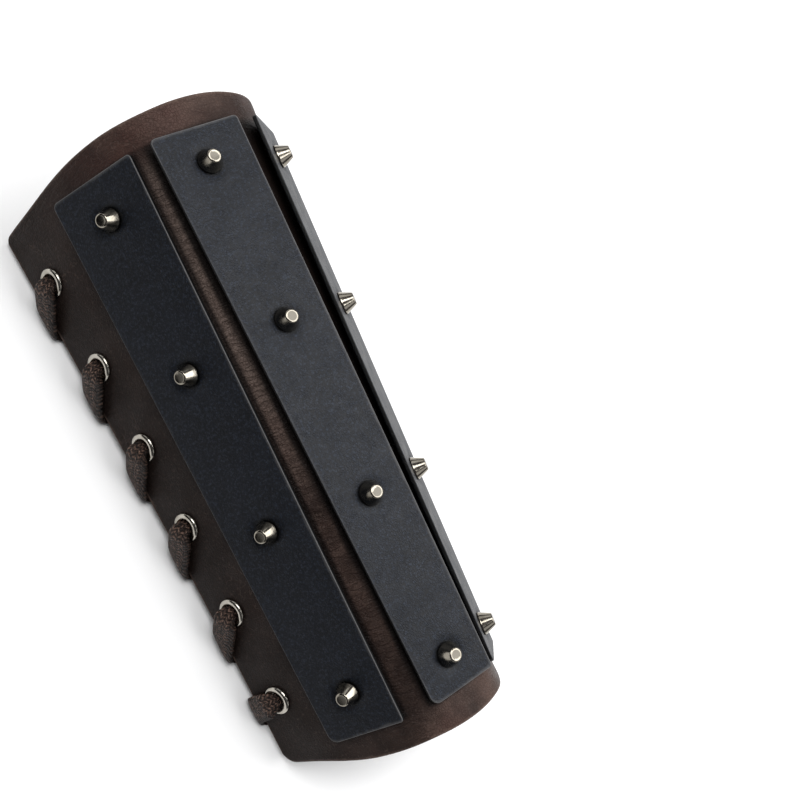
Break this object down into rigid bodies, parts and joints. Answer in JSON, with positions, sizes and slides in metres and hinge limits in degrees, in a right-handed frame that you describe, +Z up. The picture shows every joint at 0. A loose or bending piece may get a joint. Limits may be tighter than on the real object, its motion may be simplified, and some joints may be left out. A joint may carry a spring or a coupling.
{
  "type": "laced arm bracer",
  "caption": "Forearm bracer: a tapering leather shell with stiff studded panels on top, eyelets along both long edges and a criss-cross lace that closes it under the arm.",
  "frame": {"origin": "centre of the bottom of the bounding box, on the surface that the bracer lies on", "axes": "+Y along the forearm from the wrist end to the elbow end, +Z up through the middle panel, +X to the right seen from the wrist end"},
  "size_m": [0.1164, 0.2446, 0.0837],
  "materials": {
    "brown_leather": "dark brown imitation leather, fine pebble grain, satin",
    "black_leather": "stiff blue-black leather, very fine grain, soft sheen",
    "stud_metal": "polished antique nickel",
    "eyelet_metal": "bright nickel plate",
    "woven_lace": "flat herringbone weave, matt dark brown"
  },
  "bodies": {
    "root": {"leather_shell": "brown_leather", "panel_left": "black_leather", "panel_middle": "black_leather", "panel_right": "black_leather", "stud_left_1": "stud_metal", "stud_left_2": "stud_metal", "stud_left_3": "stud_metal", "stud_left_4": "stud_metal", "stud_middle_1": "stud_metal", "stud_middle_2": "stud_metal", "stud_middle_3": "stud_metal", "stud_middle_4": "stud_metal", "stud_right_1": "stud_metal", "stud_right_2": "stud_metal", "stud_right_3": "stud_metal", "stud_right_4": "stud_metal", "eyelet_left_1": "eyelet_metal", "eyelet_left_2": "eyelet_metal", "eyelet_left_3": "eyelet_metal", "eyelet_left_4": "eyelet_metal", "eyelet_left_5": "eyelet_metal", "eyelet_left_6": "eyelet_metal", "eyelet_right_1": "eyelet_metal", "eyelet_right_2": "eyelet_metal", "eyelet_right_3": "eyelet_metal", "eyelet_right_4": "eyelet_metal", "eyelet_right_5": "eyelet_metal", "eyelet_right_6": "eyelet_metal", "lace": "woven_lace"}
  },
  "joints": []
}
